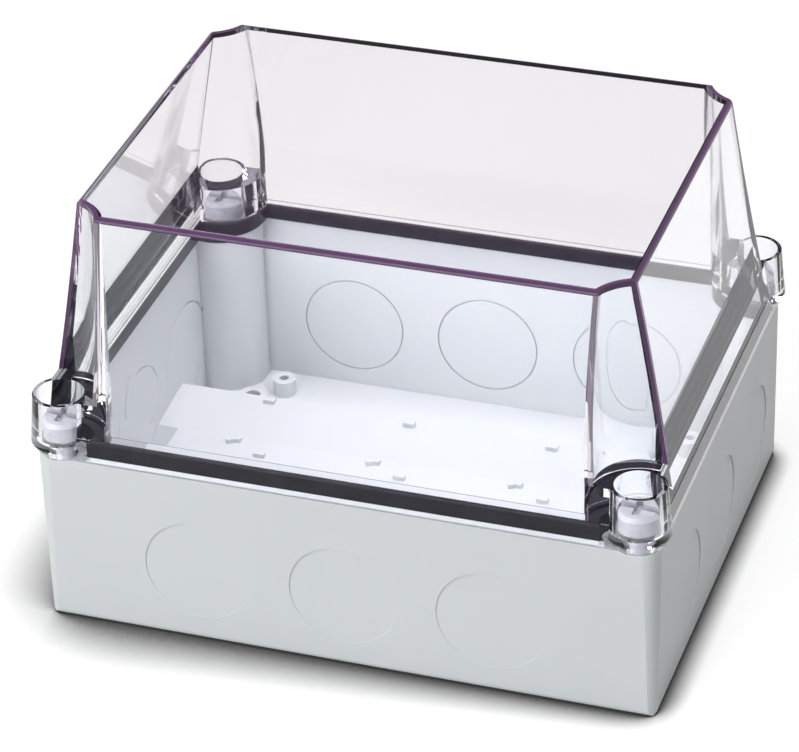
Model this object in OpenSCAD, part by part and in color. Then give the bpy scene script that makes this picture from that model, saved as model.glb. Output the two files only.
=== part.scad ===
// Wall-mounting junction box: a grey base with knockouts, a deep clear cover that
// hinges at the back, a seal between them, and four captive quarter-turn screws.
// Sizes are in millimetres. X runs along the long walls, Y goes to the back (the
// hinge side) and Z is up. The origin is the centre of the base's underside.

/* [Base] */
// Outer width of the base at the joint with the lid
base_w = 204; // [198:1:220]
// Outer depth of the base at the joint with the lid
base_d = 157; // [152:1:170]
// Height of the base up to the joint with the lid
base_h = 62; // [58:1:70]
// Radius of the upright corners
corner_r = 6; // [5:0.5:8]
// How far each wall leans in from the joint down to the underside
base_draft = 0.7; // [0.4:0.1:1]
// Radius along the bottom edges of the base
foot_r = 2.2; // [1.5:0.1:2.4]
// Thickness of the floor
floor_t = 3; // [2.5:0.5:4]

/* [Knockouts] */
// Diameter of a cable entry knockout
knock_d = 36; // [28:1:38]
// Height of the knockout centres above the underside
knock_z = 27; // [24:1:30]
// Spacing of the knockouts along a long wall
knock_pitch_long = 48.5; // [44:0.5:52]
// Spacing of the knockouts along a short wall
knock_pitch_short = 43; // [40:0.5:46]
// Depth of the round recess on the outer face
knock_recess = 0.3; // [0.2:0.1:0.6]

/* [Lid] */
// Overall height of the closed box
box_h = 145; // [120:1:160]
// Width of the flat top of the lid
top_w = 178; // [172:1:186]
// Depth of the flat top of the lid
top_d = 132; // [126:1:140]
// Thickness of the lid's walls
lid_wall = 2.7; // [2:0.1:3]
// Thickness of the lid's top
lid_top = 2.8; // [2.4:0.1:3.5]
// Height of the band around the foot of the lid
band_h = 8.8; // [8:0.2:10]
// Radius along the edges of the lid's top
top_edge_r = 1.6; // [1:0.1:2.5]

/* [Seal] */
// Width of the seal
seal_w = 2.6; // [2.2:0.1:3]
// Height of the seal
seal_h = 4.6; // [4:0.1:5]
// Height of the tongue on the base that presses on the seal
tongue_h = 2.2; // [1.6:0.1:2.6]

/* [Screws] */
// Distance of the screw axes from the outer faces at the left and right
screw_in_x = 8; // [8:0.5:9]
// Distance of the screw axes from the outer faces at the front and back
screw_in_y = 7; // [7:0.5:8]
// Radius of a screw's stem
stem_r = 3; // [2.8:0.1:3.2]
// Radius of the clear turret around a screw, where it is widest
turret_r = 10.5; // [10:0.1:11]
// Radius of the turret at its rim
turret_top_r = 8.9; // [8.8:0.1:9.4]
// Height of the turrets above the joint
turret_h = 20.5; // [18:0.5:22]

/* [Hinge] */
// Distance of the hinge axis behind the back wall
hinge_out = 5; // [5:0.5:6]
// Drop of the hinge axis below the joint
hinge_drop = 8; // [8:0.5:9]
// Distance of each hinge from the middle of the back wall
hinge_x = 72; // [70:1:73]
// Radius of the hinge pins
pin_r = 1.5; // [1.5:0.1:1.8]

/* [Fixings] */
// Spacing of the wall fixing holes along X
fix_x = 160; // [150:1:162]
// Spacing of the wall fixing holes along Y
fix_y = 110; // [100:1:112]
// Diameter of the wall fixing holes
fix_d = 5.2; // [4:0.1:5.5]
// Spacing of the plate pillars along X
pillar_x = 142; // [138:1:144]
// Spacing of the plate pillars along Y
pillar_y = 126; // [122:1:128]
// Diameter of the pilot holes in the plate pillars
pilot_d = 3.2; // [2.8:0.1:3.6]

/* [Hidden] */
$fn = 64;
eps = 0.01;
over = 1;
arc_n = 4;

// Seal line: everything on it is an inset from the outer faces, or a radius of
// pocket_r plus that inset around a screw.
pocket_r = 10.4;
tongue_in = 1.7;
tongue_t = 1.5;
wall_in = tongue_in + tongue_t;
groove_in = 1.4;
seal_in = 1.5;
groove_out = seal_in + seal_w + 0.1;
lip_in = 5.4;
lip_step = 0.3;
swing_ease = 1.3;
lip_lift = 3;

// Base
well_wall = 2.6;
well_bore_h = 12;
deck_t = 4;
side_wall = 3.6;
well_bore_r = 5.6;
stop_h = 3;
stop_ease = 0.25;
groove_w = 0.5;
groove_deep = 0.6;
boss_r = 5;
boss_h = 2.5;
pillar_r = 4;
pillar_h = 6;

// Levels
joint_z = base_h;
deck_z = joint_z - deck_t;
band_z = joint_z + band_h;
seal_z = joint_z + tongue_h;
turret_z = joint_z + turret_h;

// Lid
foot_in = 0.3;
foot_w = base_w - 2 * foot_in;
foot_d = base_d - 2 * foot_in;
collar_h = 6.7;
cove_foot_r = 13.4;
cove_top_r = 15;
cove_low_r = cove_foot_r + (cove_top_r - cove_foot_r) * (turret_h - band_h) / (box_h - band_z);
turret_foot_r = 8.2;
turret_flare_h = 4;
corner_past = 3;

// Screw positions and parts
screw_x = base_w / 2 - screw_in_x;
screw_y = base_d / 2 - screw_in_y;
seat_z = joint_z + 6;
recess_r = 7.6;
stem_bore_r = stem_r + 0.08;
ring_r = 0.9;
ring_bore_r = 5.3;
ring_seat = 2;
head_r = 6.8;
head_h = 6;
head_z = seat_z + 0.1;
cross_len = 9.4;
cross_r = 1.25;
cross_z = deck_z - 2.2;
stem_end_z = cross_z - 2.6;
swing = 0.6;
bevel = 1;
slot_w = 2.4;
slot_deep = 3;
slot_short = 8;

// Hinge
axis_y = base_d / 2 + hinge_out;
axis_z = joint_z - hinge_drop;
knuckle_r = 3.6;
knuckle_w = 9;
ear_w = 5;
ear_gap = 0.4;
ear_foot = 12;
ear_root = 1.5;
arm_root = 0.3;
pin_len = knuckle_w + 2 * (ear_gap + ear_w);

// ---------- shared outlines ----------

module rounded_rect(w, d, r) {
    square([w - 2 * r, d], center = true);
    square([w, d - 2 * r], center = true);
    for (sx = [-1, 1], sy = [-1, 1])
        translate([sx * (w / 2 - r), sy * (d / 2 - r)])
            circle(r);
}

module at_screws() {
    for (sx = [-1, 1], sy = [-1, 1])
        translate([sx * screw_x, sy * screw_y])
            children();
}

// A line that follows the outer faces at a given inset and steps inboard round each
// screw. ease moves only the steps, away from the tongue.
module seal_outline(inset, ease = 0) {
    difference() {
        rounded_rect(base_w - 2 * inset, base_d - 2 * inset, max(corner_r - inset, 1));
        at_screws()
            circle(pocket_r + inset - ease);
    }
}

module seal_band(from, to) {
    difference() {
        seal_outline(from);
        seal_outline(to);
    }
}

function arc(cx, cy, r, a0, a1, n) =
    [for (i = [0:n]) let (a = a0 + (a1 - a0) * i / n) [cx + r * cos(a), cy + r * sin(a)]];

// Half-widths a at height z0 and b at height z1, with the top corners rounded by r
// and the bottom corners by f
module leaning_profile(a, b, z0, z1, r, f) {
    lean = atan2(a - b, z1 - z0);
    top = b - r * tan((90 - lean) / 2);
    low = a - f * tan((90 + lean) / 2);
    polygon(concat(
        f == 0 ? [[-a, z0], [a, z0]] : concat(
            arc(-low, z0 + f, f, 180 - lean, 270, arc_n),
            arc(low, z0 + f, f, -90, lean, arc_n)),
        r == 0 ? [[b, z1], [-b, z1]] : concat(
            arc(top, z1 - r, r, lean, 90, arc_n),
            arc(-top, z1 - r, r, 90, 180 - lean, arc_n))
    ));
}

// What a profile seen along Y and a profile seen along X have in common
module crossed_profiles() {
    intersection() {
        rotate([90, 0, 0])
            linear_extrude(base_d + over, center = true)
                children(0);
        rotate([90, 0, 90])
            linear_extrude(base_w + over, center = true)
                children(1);
    }
}

// A block whose four sides lean: full sizes w0, d0 at z0 and w1, d1 at z1
module leaning_block(w0, d0, w1, d1, z0, z1, r = 0, f = 0) {
    crossed_profiles() {
        leaning_profile(w0 / 2, w1 / 2, z0, z1, r, f);
        leaning_profile(d0 / 2, d1 / 2, z0, z1, r, f);
    }
}

module across_x(x, w) {
    translate([x - w / 2, 0, 0])
        rotate([90, 0, 90])
            linear_extrude(w)
                children();
}

// ---------- base ----------

module base_body() {
    lean = 2 * base_draft;
    intersection() {
        linear_extrude(base_h)
            rounded_rect(base_w, base_d, corner_r);
        leaning_block(base_w - lean, base_d - lean, base_w, base_d, 0, base_h, f = foot_r);
    }
    translate([0, 0, base_h - eps])
        linear_extrude(tongue_h + eps)
            seal_band(tongue_in, wall_in);
}

module base_cavity() {
    translate([0, 0, floor_t])
        linear_extrude(base_h)
            seal_outline(wall_in);
}

// Each corner is hollow from below, outside the sealed space
module corner_wells() {
    translate([0, 0, -over])
        linear_extrude(deck_z + over)
            intersection() {
                square([base_w - 2 * side_wall, base_d - 2 * side_wall], center = true);
                at_screws()
                    circle(pocket_r + wall_in - well_wall);
            }
    at_screws()
        translate([0, 0, deck_z - well_bore_h])
            cylinder(r = well_bore_r, h = well_bore_h);
}

// Keyhole in the deck: the stem goes down the middle, the cross pin through the slot
module keyhole() {
    translate([0, 0, deck_z - over])
        linear_extrude(deck_t + 2 * over) {
            circle(stem_r + swing);
            square([cross_len + 2 * swing, 2 * (cross_r + swing)], center = true);
        }
}

// Room for the back screws, which swing round the hinge axis with the lid
module swing_relief() {
    reach = axis_y - screw_y;
    clear = 0.4;
    top = joint_z - axis_z + over;
    for (sx = [-1, 1], part = [[stem_r, 2 * (stem_r + clear)], [cross_r, cross_len + 2 * clear]])
        translate([sx * screw_x - part[1] / 2, axis_y, axis_z])
            rotate([0, 90, 0])
                intersection() {
                    rotate_extrude()
                        translate([reach - part[0] - clear, 0])
                            square([sqrt(pow(reach + part[0], 2) + top * top) - reach + part[0] + 2 * clear,
                                    part[1]]);
                    translate([-top, -reach - 10, 0])
                        cube([top + 3, reach + 10, part[1]]);
                }
}

// Stops under the deck that let the cross pin turn a quarter turn and no more
module turn_stops() {
    at_screws()
        intersection() {
            translate([0, 0, deck_z - stop_h])
                difference() {
                    cylinder(r = well_bore_r + 2 * stop_ease, h = stop_h + eps);
                    translate([0, 0, -over])
                        cylinder(r = stem_r + 2 * stop_ease, h = stop_h + 2 * over);
                }
            union()
                for (s = [-1, 1])
                    rotate(s > 0 ? 0 : 180)
                        translate([cross_r + stop_ease, cross_r + stop_ease, 0])
                            cube([well_bore_r, well_bore_r, base_h]);
        }
}

module knockout_places() {
    for (side = [0, 180], i = [-1:1])
        rotate(side)
            translate([i * knock_pitch_long, -base_d / 2, knock_z])
                rotate([90, 0, 0])
                    children();
    for (side = [90, -90], i = [-1:1])
        rotate(side)
            translate([i * knock_pitch_short, -base_w / 2, knock_z])
                rotate([90, 0, 0])
                    children();
}

// A knockout is a shallow disc outside and a fine groove inside, where it breaks out
module knockout() {
    lean = base_draft * (base_h - knock_z) / base_h;
    translate([0, 0, -lean - knock_recess])
        cylinder(d = knock_d, h = wall_in);
    translate([0, 0, -wall_in - over])
        difference() {
            cylinder(d = knock_d, h = over + groove_deep);
            translate([0, 0, -over])
                cylinder(d = knock_d - 2 * groove_w, h = 3 * over);
        }
}

module at_grid(dx, dy) {
    for (sx = [-1, 1], sy = [-1, 1])
        translate([sx * dx / 2, sy * dy / 2, 0])
            children();
}

// Low ribs on the floor that locate rails and terminal blocks
module floor_ribs() {
    rib_h = 1.6;
    rib_len = 19;
    rib_t = 1.8;
    rib_y = 29;
    hook = [4.4, rib_t];
    hook_at = [-3.2, 27.6];
    pad = [4, rib_t];
    pads_at = [[6.5, 51.2], [8, 22.4]];
    pitch = 50.5;
    for (sy = [0, 1], i = [-1.5:1:1.5])
        mirror([0, sy, 0])
            translate([i * pitch, 0, floor_t - eps])
                linear_extrude(rib_h + eps) {
                    translate([-rib_t / 2, rib_y])
                        square([rib_t, rib_len]);
                    translate(hook_at)
                        rotate(32)
                            square(hook);
                    for (at = pads_at)
                        translate(at)
                            square(pad);
                }
}

module floor_details() {
    at_grid(fix_x, fix_y)
        cylinder(r = boss_r, h = floor_t + boss_h);
    at_grid(pillar_x, pillar_y)
        cylinder(r = pillar_r, h = floor_t + pillar_h);
    floor_ribs();
}

module floor_holes() {
    at_grid(fix_x, fix_y)
        translate([0, 0, -over])
            cylinder(d = fix_d, h = floor_t + boss_h + 2 * over);
    at_grid(pillar_x, pillar_y)
        translate([0, 0, floor_t])
            cylinder(d = pilot_d, h = pillar_h + over);
}

// Two ears for each hinge, standing out of the back wall
module hinge_ears() {
    for (sx = [-1, 1], se = [-1, 1])
        across_x(sx * hinge_x + se * (knuckle_w / 2 + ear_gap + ear_w / 2), ear_w)
            difference() {
                union() {
                    translate([axis_y, axis_z])
                        circle(knuckle_r);
                    polygon([
                        [base_d / 2 - ear_root, axis_z - ear_foot],
                        [axis_y + 1.2, axis_z - 3.3],
                        [axis_y, axis_z + knuckle_r],
                        [base_d / 2 - ear_root, axis_z + knuckle_r]
                    ]);
                }
                translate([axis_y, axis_z])
                    circle(pin_r + 0.02);
            }
}

module base_shell() {
    color("lightgray") {
        difference() {
            base_body();
            base_cavity();
            corner_wells();
            at_screws()
                keyhole();
            knockout_places()
                knockout();
            floor_holes();
            swing_relief();
        }
        difference() {
            floor_details();
            floor_holes();
        }
        difference() {
            turn_stops();
            swing_relief();
        }
        hinge_ears();
    }
}

// ---------- lid ----------

module lid_outer() {
    translate([0, 0, joint_z])
        linear_extrude(band_h)
            rounded_rect(base_w, base_d, corner_r);
    difference() {
        leaning_block(foot_w, foot_d, top_w, top_d, band_z - eps, box_h, top_edge_r);
        at_screws()
            translate([0, 0, turret_z])
                cylinder(r1 = cove_low_r, r2 = cove_top_r, h = box_h - turret_z + eps);
        outer_corners();
    }
    at_screws()
        translate([0, 0, joint_z])
            rotate_extrude()
                polygon([
                    [0, 0],
                    [turret_foot_r, 0],
                    [turret_r, turret_flare_h],
                    [turret_top_r, turret_h],
                    [0, turret_h]
                ]);
}

// The sharp corners of the walls beside the turrets, which the turrets replace
module outer_corners() {
    for (sx = [-1, 1], sy = [-1, 1])
        mirror([sx < 0 ? 1 : 0, 0, 0])
            mirror([0, sy < 0 ? 1 : 0, 0])
                translate([screw_x + corner_past, screw_y + corner_past, band_z - over])
                    cube([corner_r + over, corner_r + over, turret_z - band_z + over + eps]);
}

// The inside of two opposite walls: a thick collar at the foot, an upright part in
// which the wall thins, then parallel to the outside
module cavity_profile(foot, top) {
    lean = (foot - top) / (box_h - band_z);
    low = foot + foot_in - lip_in - lip_step;
    mid = low - lean * collar_h;
    collar_z = band_z + collar_h;
    thin_z = band_z + (foot - lid_wall - mid) / lean;
    roof_z = box_h - lid_top;
    high = mid - lean * (roof_z - thin_z);
    right = [[low, band_z], [mid, collar_z], [mid, thin_z], [high, roof_z]];
    left = [[-high, roof_z], [-mid, thin_z], [-mid, collar_z], [-low, band_z]];
    polygon(concat(right, left));
}

module lid_cavity() {
    translate([0, 0, joint_z - over])
        linear_extrude(band_h + over + eps)
            seal_outline(lip_in);
    difference() {
        crossed_profiles() {
            cavity_profile(foot_w / 2, top_w / 2);
            cavity_profile(foot_d / 2, top_d / 2);
        }
        at_screws()
            translate([0, 0, band_z - over])
                cylinder(r1 = cove_foot_r + lid_wall, r2 = cove_top_r + lid_wall,
                         h = box_h - band_z + over);
    }
}

// Channel for the seal, open below, with an inner lip that stops short of the joint
module lid_channel() {
    translate([0, 0, joint_z - over]) {
        linear_extrude(over + tongue_h + seal_h)
            seal_band(groove_in, groove_out);
        linear_extrude(over + tongue_h)
            seal_outline(groove_in, swing_ease);
        linear_extrude(over + lip_lift)
            seal_outline(groove_out - eps);
    }
}

module screw_recess() {
    translate([0, 0, seat_z])
        cylinder(r = recess_r, h = box_h);
    translate([0, 0, joint_z - over])
        cylinder(r = stem_bore_r, h = seat_z);
    translate([0, 0, seat_z - ring_seat])
        cylinder(r = ring_bore_r, h = ring_seat + eps);
}

// Arms that reach down behind the back wall to the hinge axis
module hinge_arms() {
    for (sx = [-1, 1])
        across_x(sx * hinge_x, knuckle_w)
            difference() {
                union() {
                    translate([axis_y, axis_z])
                        circle(knuckle_r);
                    polygon([
                        [axis_y - knuckle_r, axis_z],
                        [axis_y + knuckle_r, axis_z],
                        [axis_y + 1.6, joint_z + 2.4],
                        [base_d / 2 - arm_root, joint_z + 5],
                        [base_d / 2 - arm_root, joint_z + eps],
                        [axis_y - knuckle_r, joint_z + eps]
                    ]);
                }
                translate([axis_y, axis_z])
                    circle(pin_r + 0.08);
            }
}

module lid_shell() {
    color([0.88, 0.9, 0.95, 0.35]) {
        difference() {
            lid_outer();
            lid_cavity();
            lid_channel();
            at_screws()
                screw_recess();
        }
        hinge_arms();
    }
}

module lid_gasket() {
    color([0.06, 0.06, 0.08])
        translate([0, 0, seal_z])
            linear_extrude(seal_h)
                seal_band(seal_in, seal_in + seal_w);
}

// ---------- screws ----------

module at_screw(sx, sy) {
    translate([sx * screw_x, sy * screw_y, 0])
        children();
}

module cross_hole(r) {
    translate([-cross_len / 2 - over, 0, cross_z])
        rotate([0, 90, 0])
            cylinder(r = r, h = cross_len + 2 * over, $fn = 32);
}

module lid_screw(sx, sy) {
    slot_z = head_z + head_h - slot_deep;
    color([0.9, 0.92, 0.94])
        at_screw(sx, sy)
            difference() {
                union() {
                    translate([0, 0, stem_end_z])
                        cylinder(r = stem_r, h = head_z - stem_end_z + eps);
                    translate([0, 0, head_z])
                        cylinder(r = head_r, h = head_h - bevel);
                    translate([0, 0, head_z + head_h - bevel])
                        cylinder(r1 = head_r, r2 = head_r - bevel, h = bevel);
                }
                cross_hole(cross_r);
                translate([-head_r - over, -slot_w / 2, slot_z])
                    cube([2 * (head_r + over), slot_w, slot_deep + over]);
                translate([-slot_w / 2, -slot_short / 2, slot_z])
                    cube([slot_w, slot_short, slot_deep + over]);
            }
}

module cross_pin(sx, sy) {
    color("silver")
        at_screw(sx, sy)
            translate([-cross_len / 2, 0, cross_z])
                rotate([0, 90, 0])
                    cylinder(r = cross_r, h = cross_len, $fn = 32);
}

module screw_seal(sx, sy) {
    color([0.1, 0.1, 0.1])
        at_screw(sx, sy)
            translate([0, 0, seat_z - ring_seat + ring_r])
                rotate_extrude()
                    translate([stem_r + 0.05 + ring_r, 0])
                        circle(ring_r, $fn = 24);
}

module hinge_pin(sx) {
    color("silver")
        translate([sx * hinge_x - pin_len / 2, axis_y, axis_z])
            rotate([0, 90, 0])
                cylinder(r = pin_r, h = pin_len, $fn = 32);
}

base_shell();
lid_shell();
lid_gasket();
hinge_pin(-1);  // hinge_pin_left
hinge_pin(1);  // hinge_pin_right
lid_screw(-1, -1);  // lid_screw_front_left
lid_screw(1, -1);  // lid_screw_front_right
lid_screw(-1, 1);  // lid_screw_rear_left
lid_screw(1, 1);  // lid_screw_rear_right
cross_pin(-1, -1);  // cross_pin_front_left
cross_pin(1, -1);  // cross_pin_front_right
cross_pin(-1, 1);  // cross_pin_rear_left
cross_pin(1, 1);  // cross_pin_rear_right
screw_seal(-1, -1);  // screw_seal_front_left
screw_seal(1, -1);  // screw_seal_front_right
screw_seal(-1, 1);  // screw_seal_rear_left
screw_seal(1, 1);  // screw_seal_rear_right
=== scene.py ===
import math

import bmesh
import bpy
from mathutils import Matrix, Vector


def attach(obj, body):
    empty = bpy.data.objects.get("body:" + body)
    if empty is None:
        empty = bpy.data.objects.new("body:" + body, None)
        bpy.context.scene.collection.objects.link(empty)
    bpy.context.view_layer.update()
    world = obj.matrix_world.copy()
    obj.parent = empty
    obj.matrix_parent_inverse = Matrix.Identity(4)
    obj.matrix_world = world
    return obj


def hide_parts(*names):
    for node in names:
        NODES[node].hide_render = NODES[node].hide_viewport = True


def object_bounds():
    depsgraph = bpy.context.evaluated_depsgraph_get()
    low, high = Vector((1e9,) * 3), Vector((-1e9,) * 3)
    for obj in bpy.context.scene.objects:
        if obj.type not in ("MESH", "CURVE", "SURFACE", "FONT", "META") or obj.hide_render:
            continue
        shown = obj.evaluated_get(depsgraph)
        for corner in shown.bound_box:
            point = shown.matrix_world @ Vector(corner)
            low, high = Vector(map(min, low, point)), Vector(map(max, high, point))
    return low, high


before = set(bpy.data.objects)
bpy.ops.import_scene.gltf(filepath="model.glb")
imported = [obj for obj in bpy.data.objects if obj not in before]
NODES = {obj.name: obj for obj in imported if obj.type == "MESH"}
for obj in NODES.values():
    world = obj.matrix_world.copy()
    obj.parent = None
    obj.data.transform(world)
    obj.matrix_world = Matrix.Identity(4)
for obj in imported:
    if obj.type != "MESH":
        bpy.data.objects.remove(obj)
cad_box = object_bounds()
CORNERS = ("front_left", "front_right", "rear_left", "rear_right")

# All lengths are in metres.

# ---------------------------------------------------------------- values

# Camera
VIEW_AZ = math.radians(19.56)
VIEW_EL = math.radians(32.74)
VIEW_ROLL = math.radians(-2.10)
VIEW_LENS = 174.2
VIEW_SENSOR = 36.0
VIEW_DISTANCE = 1.25214
VIEW_TARGET = Vector((0.0, 0.0, 0.066))
VIEW_OFFSET = (0.00575, 0.00458)
VIEW_CLIP = (0.05, 50.0)

# Lid: half sizes of its outer walls at the top of the foot band and at the lid's top
BAND_Z = 0.0708
BAND_X = 0.1019
BAND_Y = 0.0792
TOP_X = 0.0892
TOP_Y = 0.0663
# Lid: the top of the turrets, and the radius of the coves at both ends
TURRET_Z = 0.0825
COVE_FOOT_R = 0.0134
COVE_TOP_R = 0.015

# Clear plastic, with its reflections weakened. Its edges get a painted dark violet shade,
# made partly opaque, in place of the dark that light trapped in the thick edges gives
CLEAR_TINT = (0.96, 0.955, 0.965)
CLEAR_IOR = 1.585
CLEAR_ROUGHNESS = 0.015
CLEAR_SPECULAR = (0.25, 0.25, 0.27)
CLEAR_SHADOW = (0.93, 0.92, 0.94)
PAINTED_EDGE_SHADE = (0.125, 0.062, 0.145)
EDGE_W = 0.0016
PAINTED_EDGE_OPACITY = 0.65
LONG_WALL_EDGE = 0.45

# Seal: how far each of its faces moves out. This closes the clearance to the groove and
# goes on a little into the lid and the base.
SEAL_SWELL = 0.0003
WELD_DISTANCE = 1e-6
SAME_FACE = 0.9

# World: plain fill light, and what is seen of it in glass and gloss, white up to
# one height and violet grey above another
FILL_STRENGTH = 0.35
SKY_LOW = (1.0, 1.0, 1.0)
SKY_HIGH = (0.20, 0.13, 0.23)
SKY_HEIGHTS = (0.25, 0.52)

# Floor: how it bounces light, and how it looks
FLOOR_SIDE = 4.0
FLOOR_BOUNCE = 0.35
FLOOR_DIFFUSE = 0.36
FLOOR_GLOW = (0.62, 1.0)
FLOOR_GLOW_RADII = (0.4, 1.0)
# Contact shadow: its reach at the left and right of the object
SHADOW_X = (-0.11, 0.11)
SHADOW_REACH = (0.046, 0.012)
SHADOW_LEVELS = (0.05, 1.0)
SHADOW_STOPS = (0.50, 0.86)


# ---------------------------------------------------------------- camera


def view_axes():
    level = math.cos(VIEW_EL)
    back = Vector((math.sin(VIEW_AZ) * level, -math.cos(VIEW_AZ) * level, math.sin(VIEW_EL)))
    right = Vector((math.cos(VIEW_AZ), math.sin(VIEW_AZ), 0.0))
    up = back.cross(right)
    x = math.cos(VIEW_ROLL) * right + math.sin(VIEW_ROLL) * up
    y = math.cos(VIEW_ROLL) * up - math.sin(VIEW_ROLL) * right
    return x, y, back


def add_object(name, data):
    obj = bpy.data.objects.new(name, data)
    bpy.context.scene.collection.objects.link(obj)
    return obj


def add_camera():
    x, y, back = view_axes()
    data = bpy.data.cameras.new("view")
    data.lens = VIEW_LENS
    data.sensor_width = VIEW_SENSOR
    data.sensor_fit = "HORIZONTAL"
    data.clip_start, data.clip_end = VIEW_CLIP
    cam = add_object("view", data)
    place = VIEW_TARGET - VIEW_OFFSET[0] * x - VIEW_OFFSET[1] * y + VIEW_DISTANCE * back
    turn = Matrix((x, y, back)).transposed()
    cam.matrix_world = Matrix.Translation(place) @ turn.to_4x4()
    bpy.context.scene.camera = cam


# ---------------------------------------------------------------- nodes


def grey(level):
    return (level, level, level)


def new_material(name):
    mat = bpy.data.materials.new(name)
    mat.use_nodes = True
    tree = mat.node_tree
    tree.nodes.clear()
    out = tree.nodes.new("ShaderNodeOutputMaterial")
    return mat, tree, out


def add(tree, kind, **inputs):
    """A node with the named inputs set, where a name has _ for each space."""
    node = tree.nodes.new(kind)
    for name, value in inputs.items():
        node.inputs[name.replace("_", " ")].default_value = value
    return node


def feed(tree, value, socket):
    """Link a socket's output to an input, or set the input to a number."""
    if isinstance(value, (int, float)):
        socket.default_value = value
    else:
        tree.links.new(value, socket)


def math_node(tree, kind, *values):
    node = tree.nodes.new("ShaderNodeMath")
    node.operation = kind
    for value, socket in zip(values, node.inputs):
        feed(tree, value, socket)
    return node.outputs[0]


def object_coords(tree):
    return tree.nodes.new("ShaderNodeTexCoord").outputs["Object"]


def light_path(tree, ray):
    return tree.nodes.new("ShaderNodeLightPath").outputs["Is " + ray + " Ray"]


def split_xyz(tree, vector):
    node = tree.nodes.new("ShaderNodeSeparateXYZ")
    tree.links.new(vector, node.inputs[0])
    return node.outputs


def noise(tree, where, scale):
    node = add(tree, "ShaderNodeTexNoise", Scale=scale, Detail=3.0, Roughness=0.5)
    tree.links.new(where, node.inputs["Vector"])
    return node.outputs["Fac"]


def ramp(tree, source, low, high, at=(0.3, 0.7)):
    node = tree.nodes.new("ShaderNodeValToRGB")
    for element, position, colour in zip(node.color_ramp.elements, at, (low, high)):
        element.position = position
        element.color = (*colour, 1)
    tree.links.new(source, node.inputs["Fac"])
    return node.outputs["Color"]


def map_range(tree, source, came_from, goes_to):
    node = add(
        tree, "ShaderNodeMapRange",
        From_Min=came_from[0], From_Max=came_from[1], To_Min=goes_to[0], To_Max=goes_to[1])
    tree.links.new(source, node.inputs["Value"])
    return node.outputs[0]


def bump(tree, height, strength, distance):
    node = add(tree, "ShaderNodeBump", Strength=strength, Distance=distance)
    tree.links.new(height, node.inputs["Height"])
    return node.outputs["Normal"]


def mix_colours(tree, factor):
    """A colour mix node, whose inputs 6 and 7 are the two colours and output 2 the mix."""
    node = tree.nodes.new("ShaderNodeMix")
    node.data_type = "RGBA"
    tree.links.new(factor, node.inputs[0])
    return node


def mix_shaders(tree, factor, first, second, out):
    """Show the first shader where factor is 0 and the second where it is 1."""
    node = tree.nodes.new("ShaderNodeMixShader")
    tree.links.new(factor, node.inputs["Fac"])
    tree.links.new(first.outputs[0], node.inputs[1])
    tree.links.new(second.outputs[0], node.inputs[2])
    tree.links.new(node.outputs[0], out.inputs["Surface"])


# ---------------------------------------------------------------- materials


def mottled_material(name, colours, colour_scale, roughness, roughness_scale, **inputs):
    """A plain surface whose colour and roughness drift between two values."""
    mat, tree, out = new_material(name)
    where = object_coords(tree)
    shader = add(tree, "ShaderNodeBsdfPrincipled", **inputs)
    tint = ramp(tree, noise(tree, where, colour_scale), *colours)
    tree.links.new(tint, shader.inputs["Base Color"])
    gloss = ramp(tree, noise(tree, where, roughness_scale), *map(grey, roughness))
    tree.links.new(gloss, shader.inputs["Roughness"])
    tree.links.new(shader.outputs[0], out.inputs["Surface"])
    return mat, tree, shader


def plastic_material():
    """Satin light grey, with a fine grain and light that spreads a little under the skin."""
    colours = ((0.595, 0.625, 0.641), (0.615, 0.645, 0.661))
    mat, tree, shader = mottled_material(
        "base_plastic", colours, colour_scale=9.0, roughness=(0.42, 0.50), roughness_scale=60.0,
        IOR=1.5, Subsurface_Weight=0.7, Subsurface_Scale=0.0012, Subsurface_Radius=grey(1.0))
    grain = noise(tree, object_coords(tree), scale=1400.0)
    tree.links.new(bump(tree, grain, strength=0.12, distance=0.00008), shader.inputs["Normal"])
    return mat


def rubber_material():
    colours = ((0.006, 0.006, 0.010), (0.014, 0.014, 0.020))
    return mottled_material(
        "seal_rubber", colours, colour_scale=120.0, roughness=(0.45, 0.6), roughness_scale=400.0,
        Specular_IOR_Level=0.1)[0]


def screw_material():
    colours = ((0.36, 0.37, 0.41), (0.44, 0.45, 0.49))
    return mottled_material(
        "screw_plastic", colours, colour_scale=200.0, roughness=(0.25, 0.35), roughness_scale=300.0)[0]


def steel_material():
    colours = ((0.50, 0.50, 0.51), (0.62, 0.62, 0.63))
    return mottled_material(
        "pin_steel", colours, colour_scale=500.0, roughness=(0.25, 0.4), roughness_scale=700.0,
        Metallic=1.0)[0]


def screw_axis():
    """How far the screws stand from the middle of the box, across and along."""
    places = [vert.co for vert in NODES["lid_screw_rear_right"].data.vertices]
    return [(min(co[i] for co in places) + max(co[i] for co in places)) / 2 for i in range(2)]


def by_wall(tree, across, up, low, top):
    """1 within EDGE_W of a leaning wall's outer face."""
    line = math_node(tree, "MULTIPLY_ADD", up, top - low, low - EDGE_W)
    return math_node(tree, "GREATER_THAN", across, line)


def by_cove(tree, x, y, up):
    """1 within EDGE_W of the round a cove is cut to."""
    screw_x, screw_y = screw_axis()
    dx = math_node(tree, "SUBTRACT", x, screw_x)
    dy = math_node(tree, "SUBTRACT", y, screw_y)
    squares = math_node(tree, "MULTIPLY_ADD", dx, dx, math_node(tree, "MULTIPLY", dy, dy))
    radius = math_node(tree, "MULTIPLY_ADD", up, COVE_TOP_R - COVE_FOOT_R, COVE_FOOT_R)
    off = math_node(tree, "SUBTRACT", math_node(tree, "SQRT", squares), radius)
    return math_node(tree, "LESS_THAN", math_node(tree, "ABSOLUTE", off), EDGE_W)


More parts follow.
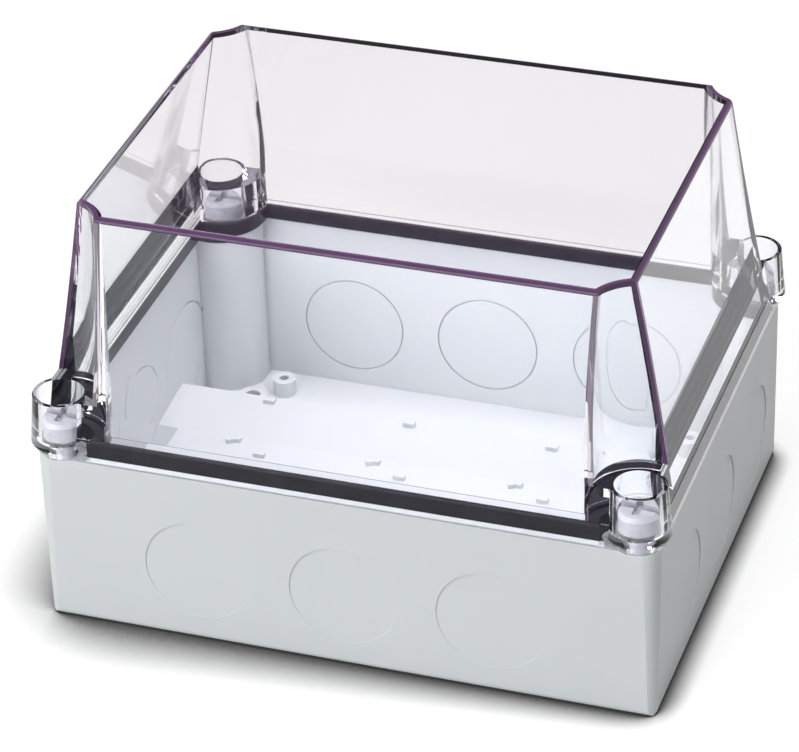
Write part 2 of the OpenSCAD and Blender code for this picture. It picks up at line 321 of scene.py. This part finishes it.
def painted_edge_shade_mask(tree):
    """Where the painted edge shade goes: 1 along the edges of the lid's top and where its short
    walls meet the coves, LONG_WALL_EDGE where its long walls meet them, and 0 elsewhere."""
    lid_z = cad_box[1][2]
    x, y, z = split_xyz(tree, object_coords(tree))
    x = math_node(tree, "ABSOLUTE", x)
    y = math_node(tree, "ABSOLUTE", y)
    up = math_node(tree, "DIVIDE", math_node(tree, "SUBTRACT", z, BAND_Z), lid_z - BAND_Z)
    short = by_wall(tree, x, up, BAND_X, TOP_X)
    long = by_wall(tree, y, up, BAND_Y, TOP_Y)
    cove = by_cove(tree, x, y, up)

    walls = math_node(tree, "MAXIMUM", short, math_node(tree, "MULTIPLY", long, LONG_WALL_EDGE))
    above = math_node(tree, "GREATER_THAN", z, TURRET_Z)
    upright = math_node(tree, "MULTIPLY", math_node(tree, "MULTIPLY", cove, walls), above)

    around = math_node(tree, "MAXIMUM", math_node(tree, "MAXIMUM", short, long), cove)
    high = math_node(tree, "GREATER_THAN", z, lid_z - EDGE_W)
    rim = math_node(tree, "MULTIPLY", around, high)
    return math_node(tree, "MAXIMUM", rim, upright)


def clear_material():
    mat, tree, out = new_material("lid_clear")
    edge = painted_edge_shade_mask(tree)
    shader = add(
        tree, "ShaderNodeBsdfPrincipled", Transmission_Weight=1.0, IOR=CLEAR_IOR,
        Roughness=CLEAR_ROUGHNESS, Specular_Tint=(*CLEAR_SPECULAR, 1))
    # Painted shade: along the edge mask the base colour turns dark violet, and the plastic there loses
    # part of its clearness, so that the painted colour shows
    colour = mix_colours(tree, edge)
    colour.inputs[6].default_value = (*CLEAR_TINT, 1)
    colour.inputs[7].default_value = (*PAINTED_EDGE_SHADE, 1)
    tree.links.new(colour.outputs[2], shader.inputs["Base Color"])
    clearness = math_node(tree, "SUBTRACT", 1.0, math_node(tree, "MULTIPLY", edge, PAINTED_EDGE_OPACITY))
    tree.links.new(clearness, shader.inputs["Transmission Weight"])
    through = add(tree, "ShaderNodeBsdfTransparent", Color=(*CLEAR_SHADOW, 1))
    mix_shaders(tree, light_path(tree, "Shadow"), shader, through, out)
    return mat


def dress(node, mat):
    slots = NODES[node].data.materials
    slots.clear()
    slots.append(mat)


# ---------------------------------------------------------------- seal


def corner_move(vert, swell):
    """How far a corner of a solid moves when each face around it moves out by swell."""
    normals = []
    for face in vert.link_faces:
        if all(face.normal.dot(known) < SAME_FACE for known in normals):
            normals.append(face.normal.copy())
    return sum(normals, Vector()) * swell


def swollen_copy(node, name, swell):
    """A copy of a CAD node's mesh with each face moved out by swell."""
    mesh = bpy.data.meshes.new(name)
    shape = bmesh.new()
    shape.from_mesh(NODES[node].data)
    bmesh.ops.remove_doubles(shape, verts=shape.verts, dist=WELD_DISTANCE)
    bmesh.ops.recalc_face_normals(shape, faces=shape.faces)
    for vert, move in [(vert, corner_move(vert, swell)) for vert in shape.verts]:
        vert.co += move
    shape.to_mesh(mesh)
    shape.free()
    return add_object(name, mesh)


def add_seal(mat):
    seal = swollen_copy("lid_gasket", "lid_seal", SEAL_SWELL)
    seal.data.materials.append(mat)
    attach(seal, "lid")
    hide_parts("lid_gasket")


# ---------------------------------------------------------------- stage


def seen_rays(tree):
    """1 for rays from the camera, in reflections and through glass."""
    glossy = math_node(tree, "MAXIMUM", light_path(tree, "Camera"), light_path(tree, "Glossy"))
    return math_node(tree, "MAXIMUM", glossy, light_path(tree, "Transmission"))


def add_world():
    world = bpy.data.worlds.new("studio")
    bpy.context.scene.world = world
    world.use_nodes = True
    tree = world.node_tree
    tree.nodes.clear()
    out = tree.nodes.new("ShaderNodeOutputWorld")
    fill = add(tree, "ShaderNodeBackground", Color=(*grey(1.0), 1), Strength=FILL_STRENGTH)
    seen = add(tree, "ShaderNodeBackground", Strength=1.0)
    height = split_xyz(tree, tree.nodes.new("ShaderNodeTexCoord").outputs["Generated"])[2]
    sky = mix_colours(tree, light_path(tree, "Camera"))
    tree.links.new(ramp(tree, height, SKY_LOW, SKY_HIGH, at=SKY_HEIGHTS), sky.inputs[6])
    sky.inputs[7].default_value = (*grey(1.0), 1)
    tree.links.new(sky.outputs[2], seen.inputs["Color"])
    mix_shaders(tree, seen_rays(tree), fill, seen, out)


def contact_shade(tree):
    """A painted contact shadow where the floor meets the object, wider at the left."""
    across = split_xyz(tree, object_coords(tree))[0]
    near = tree.nodes.new("ShaderNodeAmbientOcclusion")
    tree.links.new(map_range(tree, across, SHADOW_X, SHADOW_REACH), near.inputs["Distance"])
    return ramp(tree, near.outputs["AO"], *map(grey, SHADOW_LEVELS), at=SHADOW_STOPS)


def far_glow(tree):
    """How much the floor glows: more, further from the object, where the lamps reach less."""
    radius = tree.nodes.new("ShaderNodeVectorMath")
    radius.operation = "LENGTH"
    tree.links.new(object_coords(tree), radius.inputs[0])
    return map_range(tree, radius.outputs["Value"], FLOOR_GLOW_RADII, FLOOR_GLOW)


def floor_material():
    mat, tree, out = new_material("floor_white")
    bounce = add(tree, "ShaderNodeBsdfDiffuse", Color=(*grey(FLOOR_BOUNCE), 1))
    shade = contact_shade(tree)
    shown = tree.nodes.new("ShaderNodeAddShader")
    parts = (("ShaderNodeBsdfDiffuse", FLOOR_DIFFUSE), ("ShaderNodeEmission", far_glow(tree)))
    for (kind, level), socket in zip(parts, shown.inputs):
        scaled = tree.nodes.new("ShaderNodeVectorMath")
        scaled.operation = "SCALE"
        tree.links.new(shade, scaled.inputs[0])
        feed(tree, level, scaled.inputs["Scale"])
        part = tree.nodes.new(kind)
        tree.links.new(scaled.outputs[0], part.inputs["Color"])
        tree.links.new(part.outputs[0], socket)
    mix_shaders(tree, seen_rays(tree), bounce, shown, out)
    return mat


def add_floor():
    mesh = bpy.data.meshes.new("floor")
    corners = [(sx * FLOOR_SIDE, sy * FLOOR_SIDE, 0) for sx, sy in ((-1, -1), (1, -1), (1, 1), (-1, 1))]
    mesh.from_pydata(corners, [], [(0, 1, 2, 3)])
    mesh.materials.append(floor_material())
    add_object("floor", mesh)


def add_lamp(name, place, aim, size, watts):
    data = bpy.data.lights.new(name, "AREA")
    data.shape = "SQUARE"
    data.size = size
    data.energy = watts
    lamp = add_object(name, data)
    lamp.location = place
    lamp.rotation_euler = (Vector(aim) - Vector(place)).to_track_quat("-Z", "Y").to_euler()


# ---------------------------------------------------------------- build

rubber = rubber_material()
screw = screw_material()
steel = steel_material()

dress("base_shell", plastic_material())
dress("lid_shell", clear_material())
add_seal(rubber)
for side in ("left", "right"):
    dress("hinge_pin_" + side, steel)
for corner in CORNERS:
    dress("lid_screw_" + corner, screw)
    dress("cross_pin_" + corner, steel)
    dress("screw_seal_" + corner, rubber)

add_camera()
add_world()
add_floor()
add_lamp("key", place=(0.22, 0.0, 1.6), aim=(0, 0, 0.05), size=0.9, watts=18.5)
add_lamp("front", place=(-0.7, -1.4, 0.75), aim=(0, 0, 0.06), size=1.0, watts=23.0)

scene = bpy.context.scene
scene.view_settings.view_transform = "Standard"
scene.cycles.use_denoising = True
